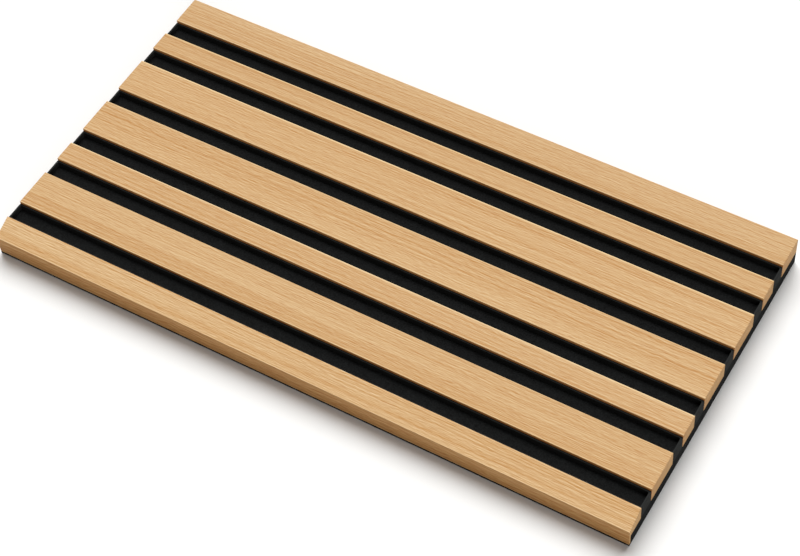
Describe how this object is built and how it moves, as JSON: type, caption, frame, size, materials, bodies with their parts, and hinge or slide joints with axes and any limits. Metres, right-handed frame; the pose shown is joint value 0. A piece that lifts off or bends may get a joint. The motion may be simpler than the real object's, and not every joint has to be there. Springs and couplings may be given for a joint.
{
  "type": "acoustic slat wall panel",
  "caption": "Flat wall panel of parallel light oak slats with black felt-lined grooves between them, on a felt backing board, to dress a wall and damp echo.",
  "frame": {"origin": "middle of the back face, which lies on the floor", "axes": "+X along the slats, +Y from the bevelled long edge to the plain one, +Z out of the face"},
  "size_m": [0.44, 0.225, 0.022],
  "materials": {
    "oak": "light oak, sanded and matt",
    "felt": "black pressed felt"
  },
  "bodies": {
    "root": {"backing_board": "felt", "plain_edge_slat": "oak", "narrow_slat_1": "oak", "wide_slat_1": "oak", "wide_slat_2": "oak", "narrow_slat_2": "oak", "wide_slat_3": "oak", "bevelled_edge_slat": "oak", "groove_strip_1": "felt", "groove_strip_2": "felt", "groove_strip_3": "felt", "groove_strip_4": "felt", "groove_strip_5": "felt", "groove_strip_6": "felt"}
  },
  "joints": []
}
